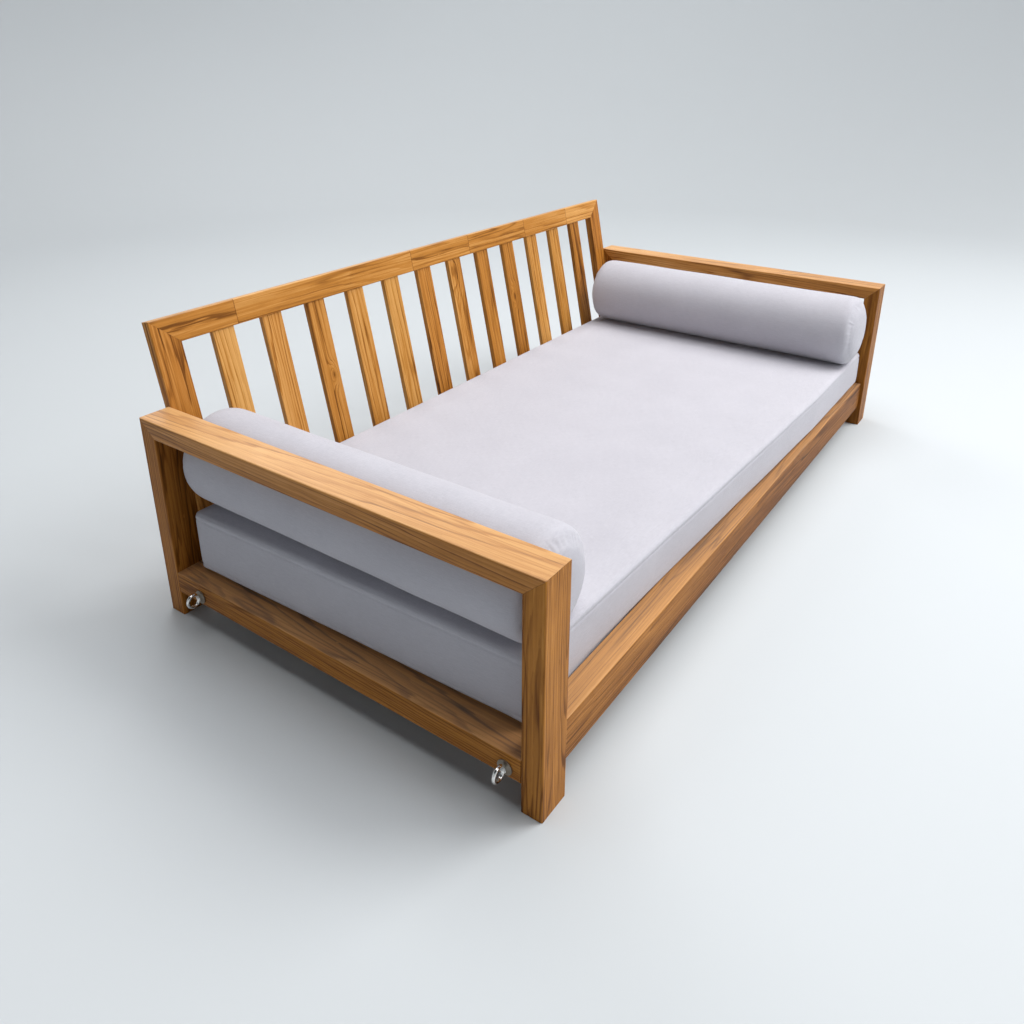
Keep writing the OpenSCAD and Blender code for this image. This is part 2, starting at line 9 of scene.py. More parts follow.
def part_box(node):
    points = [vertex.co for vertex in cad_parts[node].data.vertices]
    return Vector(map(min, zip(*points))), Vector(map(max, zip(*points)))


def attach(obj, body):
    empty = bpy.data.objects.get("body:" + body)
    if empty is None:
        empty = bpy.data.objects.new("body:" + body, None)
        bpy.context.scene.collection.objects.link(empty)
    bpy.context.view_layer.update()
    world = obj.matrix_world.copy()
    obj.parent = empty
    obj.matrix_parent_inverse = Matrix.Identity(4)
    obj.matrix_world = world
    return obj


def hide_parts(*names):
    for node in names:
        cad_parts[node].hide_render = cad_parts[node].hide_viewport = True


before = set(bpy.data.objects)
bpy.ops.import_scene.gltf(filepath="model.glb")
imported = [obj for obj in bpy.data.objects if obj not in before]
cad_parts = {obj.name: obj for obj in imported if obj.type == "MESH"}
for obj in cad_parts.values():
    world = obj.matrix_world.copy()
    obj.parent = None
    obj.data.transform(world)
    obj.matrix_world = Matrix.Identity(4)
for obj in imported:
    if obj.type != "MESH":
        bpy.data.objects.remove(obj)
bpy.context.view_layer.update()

scene = bpy.context.scene
scene.view_settings.view_transform = "Standard"
scene.view_settings.look = "None"

RAKE = math.radians(11.46)  # the backrest's lean from upright
X, Y, Z = Vector((1, 0, 0)), Vector((0, 1, 0)), Vector((0, 0, 1))
UP_BACK = Vector((0, math.sin(RAKE), math.cos(RAKE)))  # along the backrest's slats


# ---------- Camera and light ----------

def make_camera():
    data = bpy.data.cameras.new("camera")
    camera = bpy.data.objects.new("camera", data)
    scene.collection.objects.link(camera)
    camera.location = (-1.8607, -1.0741, 1.1786)
    camera.rotation_euler = (math.radians(68.122), 0, math.radians(-54.815))
    data.lens = 29.8
    data.shift_y = -0.1222
    data.clip_start, data.clip_end = 0.05, 60
    scene.camera = camera


def area_light(name, place, target, size, watts, colour, spread):
    data = bpy.data.lights.new(name, "AREA")
    data.shape = "DISK"
    data.size = size
    data.energy = watts
    data.color = colour
    data.spread = math.radians(spread)
    light = bpy.data.objects.new(name, data)
    scene.collection.objects.link(light)
    light.visible_camera = False
    light.location = place
    light.rotation_euler = (Vector(target) - Vector(place)).to_track_quat("-Z", "Y").to_euler()


def make_stage():
    """A round studio floor that curves up into a wall."""
    floor_r, sweep_r, wall_h, turns = 4.4, 2.6, 4.6, 128
    profile = [(r, 0.0) for r in (0.0, 1.0, 2.0, 3.0, 3.8, floor_r)]
    for i in range(1, 17):
        a = math.pi / 2 * i / 16
        profile.append((floor_r + sweep_r * math.sin(a), sweep_r * (1 - math.cos(a))))
    profile.append((floor_r + sweep_r, wall_h))
    mesh = bmesh.new()
    rings = []
    for r, z in profile:
        if r == 0:
            rings.append([mesh.verts.new((0, 0, z))])
            continue
        rings.append([
            mesh.verts.new((r * math.cos(2 * math.pi * k / turns), r * math.sin(2 * math.pi * k / turns), z))
            for k in range(turns)
        ])
    for a, b in zip(rings, rings[1:]):
        for k in range(turns):
            n = (k + 1) % turns
            if len(a) == 1:
                mesh.faces.new((a[0], b[k], b[n]))
            else:
                mesh.faces.new((a[k], b[k], b[n], a[n]))
    data = bpy.data.meshes.new("studio")
    mesh.to_mesh(data)
    mesh.free()
    for p in data.polygons:
        p.use_smooth = True
    studio = bpy.data.objects.new("studio", data)
    scene.collection.objects.link(studio)
    studio.location.z = -0.0005
    material = bpy.data.materials.new("studio_paint")
    material.use_nodes = True
    shader = material.node_tree.nodes["Principled BSDF"]
    shader.inputs["Base Color"].default_value = (0.55, 0.577, 0.597, 1)
    shader.inputs["Roughness"].default_value = 0.7
    shader.inputs["Specular IOR Level"].default_value = 0.2
    data.materials.append(material)


make_camera()
make_stage()
area_light("key", (2.8, -3.25, 5.2), (0, 0, 0.2), 3.6, 265, (1.0, 0.995, 0.985), 160)
area_light("overhead", (0.2, 0.3, 6.6), (0, 0, 0.2), 5.5, 280, (0.99, 0.995, 1.0), 165)
area_light("front", (0.4, -5.4, 3.4), (0, 0, 0.2), 3.6, 76, (1.0, 1.0, 1.0), 160)
area_light("back", (2.2, 4.6, 4.4), (0, 0, 0.4), 3.4, 66, (1.0, 1.0, 1.0), 160)
area_light("wall", (1.9, 1.3, 3.4), (6.0, 4.2, 3.6), 1.6, 38, (1.0, 1.0, 1.0), 150)
world = bpy.data.worlds.new("studio")
world.use_nodes = True
world.node_tree.nodes["Background"].inputs[0].default_value = (0.86, 0.92, 1.0, 1)
world.node_tree.nodes["Background"].inputs[1].default_value = 0.01
scene.world = world


# ---------- Node helpers ----------

def put(tree, kind, inputs=None, **settings):
    """Adds a shader node; an input is a value or a socket to link."""
    node = tree.nodes.new("ShaderNode" + kind)
    for key, value in settings.items():
        setattr(node, key, value)
    for key, value in (inputs or {}).items():
        if isinstance(value, bpy.types.NodeSocket):
            tree.links.new(value, node.inputs[key])
        else:
            node.inputs[key].default_value = value
    return node


def calc(tree, operation, a, b=0.0, clamp=False):
    return put(tree, "Math", {0: a, 1: b}, operation=operation, use_clamp=clamp).outputs[0]


def scaled(tree, vector, factors):
    return put(tree, "VectorMath", {0: vector, 1: factors}, operation="MULTIPLY").outputs[0]


def noisy(tree, vector, seed, detail=2.0, roughness=0.5):
    node = put(
        tree, "TexNoise",
        {"Vector": vector, "W": seed, "Scale": 1.0, "Detail": detail, "Roughness": roughness},
        noise_dimensions="4D",
    )
    return node.outputs["Fac"]


def ramp(tree, value, low, high, out_low=0.0, out_high=1.0):
    node = put(
        tree, "MapRange",
        {"Value": value, "From Min": low, "From Max": high, "To Min": out_low, "To Max": out_high},
        interpolation_type="SMOOTHSTEP",
    )
    return node.outputs["Result"]


def bell(tree, square, size):
    """exp(-square / size^2)"""
    ratio = calc(tree, "DIVIDE", square, calc(tree, "MULTIPLY", size, size))
    return calc(tree, "POWER", math.e, calc(tree, "MULTIPLY", ratio, -1.0))


# ---------- Teak ----------

TEAK_INPUTS = {
    "Seed": 0.0,
    "Tone": 0.5,
    "Streak": 0.5,
    "Red": 0.3,
    "Pith V": 0.06,
    "Pith W": 0.1,
    "Slope": 0.02,
    "Knot U": 0.0,
    "Knot V": 0.0,
    "Knot Size": 0.001,
    "Knot Dark": 0.0,
    "End": 0.0,
    "Up": 0.0,
}


def make_teak_group():
    """Growth rings, streaks, veins, pores and knots; the grain runs along the vector's X, in metres.

    Tone is lighter as it rises, End is 1 on a face cut across the grain, and Up is 1 on a face that
    looks up, where a painted sheen makes the wood paler to stand in for light glancing off the top."""
    group = bpy.data.node_groups.new("teak_grain", "ShaderNodeTree")
    group.interface.new_socket("Vector", in_out="INPUT", socket_type="NodeSocketVector")
    for name, value in TEAK_INPUTS.items():
        socket = group.interface.new_socket(name, in_out="INPUT", socket_type="NodeSocketFloat")
        socket.default_value = value
    group.interface.new_socket("Color", in_out="OUTPUT", socket_type="NodeSocketColor")
    for name in ("Height", "Roughness"):
        group.interface.new_socket(name, in_out="OUTPUT", socket_type="NodeSocketFloat")
    given = group.nodes.new("NodeGroupInput").outputs
    place, seed = given["Vector"], given["Seed"]
    uvw = put(group, "SeparateXYZ", {0: place}).outputs
    u, v, w = uvw[0], uvw[1], uvw[2]

    # Distance from the heart of the log, bent by slow noise and by a knot
    bend = calc(group, "SUBTRACT", noisy(group, scaled(group, place, (1.3, 7, 7)), seed), 0.5)
    bend = calc(group, "MULTIPLY", bend, 0.04)
    knot_u = calc(group, "MULTIPLY", calc(group, "SUBTRACT", u, given["Knot U"]), 0.42)
    knot_v = calc(group, "SUBTRACT", v, given["Knot V"])
    knot_square = calc(
        group, "ADD", calc(group, "MULTIPLY", knot_u, knot_u), calc(group, "MULTIPLY", knot_v, knot_v)
    )
    knot = bell(group, knot_square, given["Knot Size"])
    heart = bell(group, knot_square, calc(group, "MULTIPLY", given["Knot Size"], 0.34))
    across = calc(group, "ADD", calc(group, "SUBTRACT", v, given["Pith V"]), bend)
    lean = calc(group, "MULTIPLY", u, given["Slope"])
    deep = calc(group, "ADD", calc(group, "SUBTRACT", w, given["Pith W"]), lean)
    radius = calc(
        group, "SQRT",
        calc(group, "ADD", calc(group, "MULTIPLY", across, across), calc(group, "MULTIPLY", deep, deep)),
    )
    radius = calc(group, "ADD", radius, calc(group, "MULTIPLY", knot, 0.022))

    # Growth rings: each darkens slowly outwards, with a thin dark line near its outer edge
    ring_spacing = 0.0064
    rough_edge = noisy(group, scaled(group, place, (2.4, 34, 34)), seed, 3.0, 0.6)
    rough_edge = calc(group, "MULTIPLY", calc(group, "SUBTRACT", rough_edge, 0.5), 2.6)
    phase = calc(group, "ADD", calc(group, "DIVIDE", radius, ring_spacing), rough_edge)
    part = calc(group, "FRACT", phase)
    soft_ring = ramp(group, part, 0.0, 0.9)
    ring = calc(group, "MULTIPLY", ramp(group, part, 0.66, 0.84), ramp(group, part, 0.93, 1.0, 1.0, 0.0))
    rings_apart = put(
        group, "CombineXYZ",
        {0: calc(group, "MULTIPLY", radius, 150.0), 1: calc(group, "MULTIPLY", u, 1.5)},
    ).outputs[0]
    ring_force = ramp(group, noisy(group, rings_apart, seed, 1.0), 0.4, 0.66, 0.0, 1.0)
    ring = calc(group, "MULTIPLY", ring, ring_force)

    # Dark mineral streaks, fine lines, patches of colour and open pores
    broad = scaled(group, place, (0.75, 8, 8))
    wide = put(
        group, "CombineXYZ",
        {
            0: calc(group, "MULTIPLY", u, 0.8),
            1: calc(group, "MULTIPLY", radius, 42.0),
            2: calc(group, "MULTIPLY", w, 6.0),
        },
    ).outputs[0]
    streak = ramp(group, noisy(group, wide, seed, 3.0, 0.6), 0.5, 0.72)
    fine = noisy(group, scaled(group, place, (2.6, 230, 230)), seed, 2.0, 0.6)
    hairs = noisy(group, scaled(group, place, (3.2, 430, 430)), seed, 1.0)
    hair = ramp(group, hairs, 0.56, 0.66)
    patch = noisy(group, broad, calc(group, "ADD", seed, 9.0), 1.0)
    mottle = noisy(group, scaled(group, place, (9, 42, 42)), calc(group, "ADD", seed, 4.0), 3.0, 0.6)
    pores = noisy(group, scaled(group, place, (38, 1500, 1500)), seed, 1.0)
    pore = ramp(group, pores, 0.6, 0.7)

    # Sinuous dark veins, where slow noise crosses two levels
    slow = noisy(group, scaled(group, place, (1.5, 24, 24)), calc(group, "ADD", seed, 2.0), 2.0, 0.45)
    vein = 0.0
    for level in (0.45, 0.54):
        away = calc(group, "SUBTRACT", slow, level)
        vein = calc(group, "ADD", vein, bell(group, calc(group, "MULTIPLY", away, away), 0.013))
    vein_place = scaled(group, place, (2.2, 11, 11))
    vein_force = ramp(group, noisy(group, vein_place, calc(group, "ADD", seed, 6.0)), 0.4, 0.6)
    vein = calc(group, "MULTIPLY", vein, vein_force)

    dark = calc(group, "SUBTRACT", 0.82, given["Tone"])
    shares = (
        (ring, 0.28), (soft_ring, 0.08), (streak, given["Streak"]), (fine, 0.42), (hair, 0.1),
        (patch, 0.56), (mottle, 0.2), (pore, 0.12), (vein, 0.24),
    )
    for source, share in shares:
        dark = calc(group, "ADD", dark, calc(group, "MULTIPLY", source, share))
    dark = calc(group, "SUBTRACT", dark, 0.6)
    # Painted sheen: faces that look up are made lighter and tinted pale, standing in for light glancing off
    # the tops
    painted_top_sheen = ramp(group, given["Up"], 0.3, 0.9)
    dark = calc(group, "SUBTRACT", dark, calc(group, "MULTIPLY", painted_top_sheen, 0.12))
    dark = calc(group, "ADD", dark, calc(group, "MULTIPLY", heart, given["Knot Dark"]), clamp=True)

    colours = put(group, "ValToRGB", {0: dark})
    elements = colours.color_ramp.elements
    elements[0].position, elements[0].color = 0.0, (0.68, 0.385, 0.125, 1)
    elements[1].position, elements[1].color = 1.0, (0.045, 0.014, 0.003, 1)
    for position, colour in ((0.3, (0.46, 0.2, 0.034, 1)), (0.62, (0.19, 0.068, 0.007, 1))):
        elements.new(position).color = colour
    red = put(
        group, "Mix", {"Factor": given["Red"], "A": colours.outputs[0], "B": (0.92, 0.66, 0.5, 1)},
        data_type="RGBA", blend_type="MULTIPLY",
    )
    # The painted sheen's pale tint on faces that look up
    painted_sheen_share = calc(group, "MULTIPLY", painted_top_sheen, 0.14)
    with_painted_sheen = put(
        group, "Mix", {"Factor": painted_sheen_share, "A": red.outputs["Result"], "B": (0.8, 0.66, 0.5, 1)},
        data_type="RGBA",
    )
    end = ramp(group, given["End"], 0.55, 0.9)
    cut = put(
        group, "Mix", {"Factor": end, "A": with_painted_sheen.outputs["Result"], "B": (0.5, 0.42, 0.36, 1)},
        data_type="RGBA", blend_type="MULTIPLY",
    )
    low = calc(group, "ADD", calc(group, "MULTIPLY", pore, 0.7), calc(group, "MULTIPLY", ring, 0.35))
    low = calc(group, "ADD", low, calc(group, "MULTIPLY", fine, 0.5))
    shine = calc(group, "ADD", 0.4, calc(group, "MULTIPLY", dark, 0.12))
    shine = calc(group, "ADD", shine, calc(group, "MULTIPLY", pore, 0.15))
    out = group.nodes.new("NodeGroupOutput")
    group.links.new(cut.outputs["Result"], out.inputs["Color"])
    group.links.new(calc(group, "MULTIPLY", low, -1.0), out.inputs["Height"])
    group.links.new(shine, out.inputs["Roughness"])
    return group


teak_group = make_teak_group()


def teak(node, grain, width, joints=(), gloss=0.14, **look):
    """One board's own teak; grain and width are its directions in the row frame.

    joints are the fractions of its length, from its middle, where shorter boards meet, and gloss is
    the specular level of its oil finish."""
    low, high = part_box(node)
    turn = Matrix((grain, width, grain.cross(width)))
    middle = turn @ ((low + high) / 2)
    euler = turn.to_euler()
    material = bpy.data.materials.new("teak_" + node)
    material.use_nodes = True
    tree = material.node_tree
    shader = tree.nodes["Principled BSDF"]
    shader.inputs["Specular IOR Level"].default_value = gloss
    where = put(tree, "TexCoord").outputs
    board = put(
        tree, "Mapping", {"Vector": where["Object"], "Location": -middle, "Rotation": euler},
        vector_type="POINT",
    ).outputs[0]
    facing = put(tree, "Mapping", {"Vector": where["Normal"], "Rotation": euler}, vector_type="VECTOR")
    along = put(tree, "SeparateXYZ", {0: facing.outputs[0]}).outputs[0]
    upward = put(tree, "SeparateXYZ", {0: where["Normal"]}).outputs[2]
    grain_node = put(tree, "Group", node_tree=teak_group)
    tree.links.new(board, grain_node.inputs["Vector"])
    tree.links.new(calc(tree, "ABSOLUTE", along), grain_node.inputs["End"])
    # How far a face looks up sets the painted sheen on the tops
    tree.links.new(upward, grain_node.inputs["Up"])
    for key, value in look.items():
        grain_node.inputs[key.replace("_", " ").title()].default_value = value
    colour = grain_node.outputs["Color"]
    if joints:
        colour = join_boards(tree, grain_node, board, (high - low).dot(grain), joints, look)
    bump = put(
        tree, "Bump", {"Height": grain_node.outputs["Height"], "Strength": 0.3, "Distance": 0.0006}
    )
    tree.links.new(colour, shader.inputs["Base Color"])
    tree.links.new(grain_node.outputs["Roughness"], shader.inputs["Roughness"])
    tree.links.new(bump.outputs["Normal"], shader.inputs["Normal"])
    paint(node, material)


def join_boards(tree, grain_node, board, length, joints, look):
    """Gives each length between two joints its own grain and tone, with a fine dark line at each joint."""
    u = put(tree, "SeparateXYZ", {0: board}).outputs[0]
    seed, tone, line = look["seed"], look["tone"], 0.0
    for i, joint in enumerate(joints):
        from_joint = calc(tree, "SUBTRACT", u, joint * length)
        past = calc(tree, "GREATER_THAN", from_joint, 0.0)
        seed = calc(tree, "ADD", seed, calc(tree, "MULTIPLY", past, 3.7))
        tone = calc(tree, "ADD", tone, calc(tree, "MULTIPLY", past, 0.05 * (-1) ** i))
        line = calc(tree, "ADD", line, bell(tree, calc(tree, "MULTIPLY", from_joint, from_joint), 0.0008))
    tree.links.new(seed, grain_node.inputs["Seed"])
    tree.links.new(tone, grain_node.inputs["Tone"])
    joined = put(
        tree, "Mix", {"Factor": line, "A": grain_node.outputs["Color"], "B": (0.3, 0.22, 0.16, 1)},
        data_type="RGBA", blend_type="MULTIPLY",
    )
    return joined.outputs["Result"]


def paint(node, material):
    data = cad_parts[node].data
    data.materials.clear()
    data.materials.append(material)


# Each board: direction of its grain, direction of its width, then its look
for side, shift in (("left", 0), ("right", 40)):
    teak(side + "_front_post", Z, X, seed=shift + 1.3, tone=0.44, streak=0.2, red=0.25,
         pith_v=0.024, pith_w=-0.0105, slope=0.055)
    teak(side + "_rear_post", Z, X, seed=shift + 2.9, tone=0.44, streak=0.2, red=0.4, pith_v=-0.05)
    teak(side + "_arm_rail", Y, X, gloss=0.3, seed=shift + 4.1, tone=0.6, streak=0.2, red=0.3,
         pith_v=0.05, pith_w=0.12, slope=0.03)
    teak(side + "_bottom_rail", Y, X, seed=shift + 5.7, tone=0.46, streak=0.2, red=0.3,
         pith_v=-0.03, pith_w=0.07, slope=0.04)
    teak(side + "_mitre_tongues", Y, X, seed=shift + 6.5, tone=0.5)
teak("front_rail", X, Z, seed=7.7, tone=0.34, streak=0.25, red=0.25, pith_v=0.03, pith_w=0.07, slope=0.012)
teak("rear_rail", X, Z, seed=8.3, tone=0.46, streak=0.4, red=0.3, pith_v=-0.04, pith_w=0.08, slope=0.015)
teak("front_ledger", X, Z, seed=9.1, tone=0.45, streak=0.3)
teak("rear_ledger", X, Z, seed=9.9, tone=0.42, streak=0.3)
teak("dowels_and_plugs", UP_BACK, X, seed=10.5, tone=0.45, streak=0.1, red=0.4)
teak("back_left_stile", UP_BACK, X, seed=11.2, tone=0.54, streak=0.15, red=0.4, pith_v=0.02, pith_w=0.08)
teak("back_right_stile", UP_BACK, X, seed=12.6, tone=0.48, streak=0.15, red=0.4, pith_v=-0.03)
teak("back_top_rail", X, Z, joints=(-0.385, -0.063, 0.077, 0.237, 0.377),
     seed=13.4, tone=0.62, streak=0.12, red=0.25, pith_v=0.04, pith_w=0.09, slope=0.01)
teak("back_bottom_rail", X, Z, seed=14.8, tone=0.45, streak=0.4, red=0.3)
teak("back_mitre_tongues", X, Z, seed=15.5, tone=0.45)
SLATS = (
    dict(tone=0.76, streak=0.06, red=0.2),
    dict(tone=0.64, streak=0.4, red=0.35, slope=0.015, pith_v=-0.02, pith_w=0.03),
    dict(tone=0.58, streak=0.12, red=0.3, knot_u=0.0, knot_v=0.008, knot_size=0.012, knot_dark=0.35),
    dict(tone=0.64, streak=0.12, red=0.25),
    dict(tone=0.78, streak=0.05, red=0.15),
    dict(tone=0.56, streak=0.15, red=0.4, pith_v=0.05, pith_w=0.03),
    dict(tone=0.62, streak=0.2, red=0.3, knot_u=0.16, knot_v=0.0, knot_size=0.03, knot_dark=0.12),
    dict(tone=0.58, streak=0.12, red=0.3),
    dict(tone=0.6, streak=0.15, red=0.3, knot_u=0.02, knot_v=-0.006, knot_size=0.014, knot_dark=0.4),
    dict(tone=0.66, streak=0.12, red=0.2),
    dict(tone=0.7, streak=0.1, red=0.15),
    dict(tone=0.56, streak=0.15, red=0.3),
)
for i, look in enumerate(SLATS, 1):
    teak(f"back_slat_{i:02d}", UP_BACK, X, seed=20 + 1.7 * i, **look)
for i in range(1, 11):
    teak(f"seat_slat_{i:02d}", Y, X, seed=50 + 1.9 * i, tone=0.44 + 0.02 * (i % 4), streak=0.3)


# ---------- Steel ----------

def steel(name, colour, roughness, spangle):
    """Metal with fine scratches, and crystals where it is zinc plated."""
    material = bpy.data.materials.new(name)
    material.use_nodes = True
    tree = material.node_tree
    shader = tree.nodes["Principled BSDF"]
    shader.inputs["Metallic"].default_value = 1.0
    where = put(tree, "TexCoord").outputs["Object"]
    scratch = put(
        tree, "TexNoise", {"Vector": scaled(tree, where, (300, 2500, 2500)), "Scale": 1.0, "Detail": 2.0}
    ).outputs["Fac"]
    smear = put(tree, "TexNoise", {"Vector": where, "Scale": 90.0, "Detail": 3.0}).outputs["Fac"]
    crystal = put(tree, "TexVoronoi", {"Vector": where, "Scale": 260.0}).outputs["Color"]
    grey = put(tree, "SeparateColor", {0: crystal}).outputs[0]
    shade = calc(tree, "ADD", 1.0 - spangle, calc(tree, "MULTIPLY", grey, spangle))
    tint = put(tree, "Mix", {"Factor": shade}, data_type="RGBA")
    tint.inputs["A"].default_value = tuple(0.55 * c for c in colour) + (1,)
    tint.inputs["B"].default_value = colour + (1,)
    rough = calc(tree, "ADD", roughness, calc(tree, "MULTIPLY", smear, 0.16))
    bump = put(tree, "Bump", {"Height": scratch, "Strength": 0.08, "Distance": 0.0002})
    tree.links.new(tint.outputs["Result"], shader.inputs["Base Color"])
    tree.links.new(rough, shader.inputs["Roughness"])
    tree.links.new(bump.outputs["Normal"], shader.inputs["Normal"])
    return material


stainless = steel("stainless_polished", (0.80, 0.79, 0.77), 0.08, 0.05)
brushed = steel("stainless_brushed", (0.32, 0.28, 0.23), 0.34, 0.2)
zinc = steel("zinc_plated", (0.62, 0.64, 0.66), 0.3, 0.5)
for name in ("left_front", "left_rear", "right_front", "right_rear"):
    paint(name + "_eye_bolt", stainless)
paint("eye_plates", brushed)
for name in ("eye_washers", "eye_nuts"):
    paint(name, stainless)
for name in ("rail_studs", "rail_half_moons", "rail_nuts", "timber_screws", "back_bolts"):
    paint(name, zinc)


# ---------- Fabric ----------

def make_fabric(name, axis_y):
    """Plain-weave canvas. Round pieces along Y measure the weave round their axis."""
    material = bpy.data.materials.new(name)
    material.use_nodes = True
    tree = material.node_tree
    shader = tree.nodes["Principled BSDF"]
    coords = put(tree, "TexCoord").outputs
    where, facing = coords["Object"], coords["Normal"]
    xyz = put(tree, "SeparateXYZ", {0: where}).outputs
    side = [calc(tree, "ABSOLUTE", s) for s in put(tree, "SeparateXYZ", {0: facing}).outputs]
    pitch = 2 * math.pi / 0.0019  # threads repeat every 1.9 mm

    def waves(a, b):
        return calc(
            tree, "MULTIPLY",
            calc(tree, "SINE", calc(tree, "MULTIPLY", a, pitch)),
            calc(tree, "SINE", calc(tree, "MULTIPLY", b, pitch)),
        )

    if axis_y is None:
        flat = waves(xyz[0], xyz[1])
        front = waves(xyz[0], xyz[2])
        end = waves(xyz[1], xyz[2])
        is_flat, is_end = ramp(tree, side[2], 0.6, 0.8), ramp(tree, side[0], 0.6, 0.8)
        weave = put(tree, "Mix", {0: is_flat, 2: front, 3: flat}).outputs[0]
        weave = put(tree, "Mix", {0: is_end, 2: weave, 3: end}).outputs[0]
    else:
        cx, cz, radius = axis_y
        angle = calc(tree, "ARCTAN2", calc(tree, "SUBTRACT", xyz[2], cz), calc(tree, "SUBTRACT", xyz[0], cx))
        tube = waves(calc(tree, "MULTIPLY", angle, radius), xyz[1])
        cap = waves(xyz[0], xyz[2])
        weave = put(tree, "Mix", {0: ramp(tree, side[1], 0.7, 0.8), 2: tube, 3: cap}).outputs[0]

    def noise_in(vector, scale, detail):
        return put(tree, "TexNoise", {"Vector": vector, "Scale": scale, "Detail": detail}).outputs["Fac"]

    slub = noise_in(scaled(tree, where, (60, 900, 900)), 1.0, 2.0)
    weft = noise_in(scaled(tree, where, (900, 60, 900)), 1.0, 2.0)
    threads = calc(tree, "ADD", slub, weft)
    cloud = noise_in(where, 9.0, 3.0)
    mixed = calc(tree, "ADD", calc(tree, "MULTIPLY", threads, 0.5), calc(tree, "MULTIPLY", weave, 0.12))
    mixed = calc(tree, "ADD", mixed, calc(tree, "MULTIPLY", calc(tree, "SUBTRACT", cloud, 0.5), 0.25))
    tint = put(tree, "ValToRGB", {0: mixed})
    low, high = tint.color_ramp.elements
    low.position, low.color = 0.28, (0.435, 0.425, 0.468, 1)
    high.position, high.color = 0.76, (0.56, 0.547, 0.592, 1)
    bumps = calc(tree, "ADD", weave, calc(tree, "MULTIPLY", threads, 1.4))
    bump = put(tree, "Bump", {"Height": bumps, "Strength": 0.5, "Distance": 0.0003})
    tree.links.new(tint.outputs[0], shader.inputs["Base Color"])
    tree.links.new(bump.outputs["Normal"], shader.inputs["Normal"])
    shader.inputs["Roughness"].default_value = 0.9
    shader.inputs["Specular IOR Level"].default_value = 0.2
    shader.inputs["Sheen Weight"].default_value = 0.18
    shader.inputs["Sheen Roughness"].default_value = 0.4
    return material


# ---------- Cushions ----------

def coordinates(data):
    co = np.empty(len(data.vertices) * 3, np.float32)
    data.vertices.foreach_get("co", co)
    return co.reshape(-1, 3).astype(float)


def set_coordinates(data, co):
    data.vertices.foreach_set("co", np.asarray(co, np.float32).ravel())
    data.update()


def make_object(name, verts, faces):
    data = bpy.data.meshes.new(name)
    data.from_pydata([tuple(v) for v in verts], [], faces)
    data.update()
    piece = bpy.data.objects.new(name, data)
    scene.collection.objects.link(piece)
    return piece


def apply_modifiers(piece):
    """Writes the evaluated mesh back, so that no modifier is left."""
    graph = bpy.context.evaluated_depsgraph_get()
    data = bpy.data.meshes.new_from_object(piece.evaluated_get(graph))
    old = piece.data
    piece.modifiers.clear()
    piece.data = data
    bpy.data.meshes.remove(old)
    data.name = piece.name


def puff(piece, seam_weight, pressure, shrink, cap):
    """Inflates a closed mesh as cloth, with its seams drawn in, and limits how far a point moves."""
    rest = coordinates(piece.data)
    group = piece.vertex_groups.new(name="seam")
    for i, weight in enumerate(seam_weight(rest)):
        if weight > 0.01:
            group.add([i], float(weight), "REPLACE")
    cloth = piece.modifiers.new("puff", "CLOTH")
    s = cloth.settings
    s.quality = 5
    s.mass = 0.25
    s.tension_stiffness = s.compression_stiffness = 20
    s.shear_stiffness = 8
    s.bending_stiffness = 0.4
    s.tension_damping = s.compression_damping = 8
    s.use_pressure = True
    s.uniform_pressure_force = pressure
    s.vertex_group_shrink = "seam"
    s.shrink_max = shrink
    s.effector_weights.gravity = 0
    cloth.point_cache.frame_start, cloth.point_cache.frame_end = 1, 20
    for f in range(1, 21):
        scene.frame_set(f)
    graph = bpy.context.evaluated_depsgraph_get()
    moved = coordinates(piece.evaluated_get(graph).data)
    piece.modifiers.remove(cloth)
    scene.frame_set(1)
    step = moved - rest
    length = np.linalg.norm(step, axis=1, keepdims=True)
    step *= np.minimum(1.0, cap / np.maximum(length, 1e-9))
    set_coordinates(piece.data, rest + step)


def finish_cushion(piece, body, nodes, material):
    for p in piece.data.polygons:
        p.use_smooth = True
    piece.data.materials.clear()
    piece.data.materials.append(material)
    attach(piece, body)
    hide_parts(*nodes)


def lines(length, edge, step, extra=()):
    """Distances along a box side: close together near both ends and even between, with some more."""
    near = [edge * k / 4 for k in range(5)] + [edge * 1.3, edge * 1.75]
    count = max(2, round((length - 2 * near[-1]) / step))
    middle = [near[-1] + (length - 2 * near[-1]) * k / count for k in range(1, count)]
    return np.array(sorted(near + middle + [length - d for d in near] + list(extra)))


def box_grid(name, low, high, edge, step, levels):
    """A closed box of quads whose edges can be rounded, with more rows at some levels."""
    axes = [low[i] + lines(high[i] - low[i], edge, step, levels if i == 2 else ()) for i in range(3)]
    index, verts, faces = {}, [], []

    def at(i, j, k):
        key = (i, j, k)
        if key not in index:
            index[key] = len(verts)
            verts.append((axes[0][i], axes[1][j], axes[2][k]))
        return index[key]

    n = [len(a) - 1 for a in axes]
    for a, b, c in ((0, 1, 2), (1, 2, 0), (2, 0, 1)):
        for end in (0, n[c]):
            for i in range(n[a]):
                for j in range(n[b]):
                    loop = []
                    for di, dj in ((0, 0), (1, 0), (1, 1), (0, 1)):
                        key = [0, 0, 0]
                        key[a], key[b], key[c] = i + di, j + dj, end
                        loop.append(at(*key))
                    faces.append(loop if end else loop[::-1])
    return make_object(name, verts, faces)


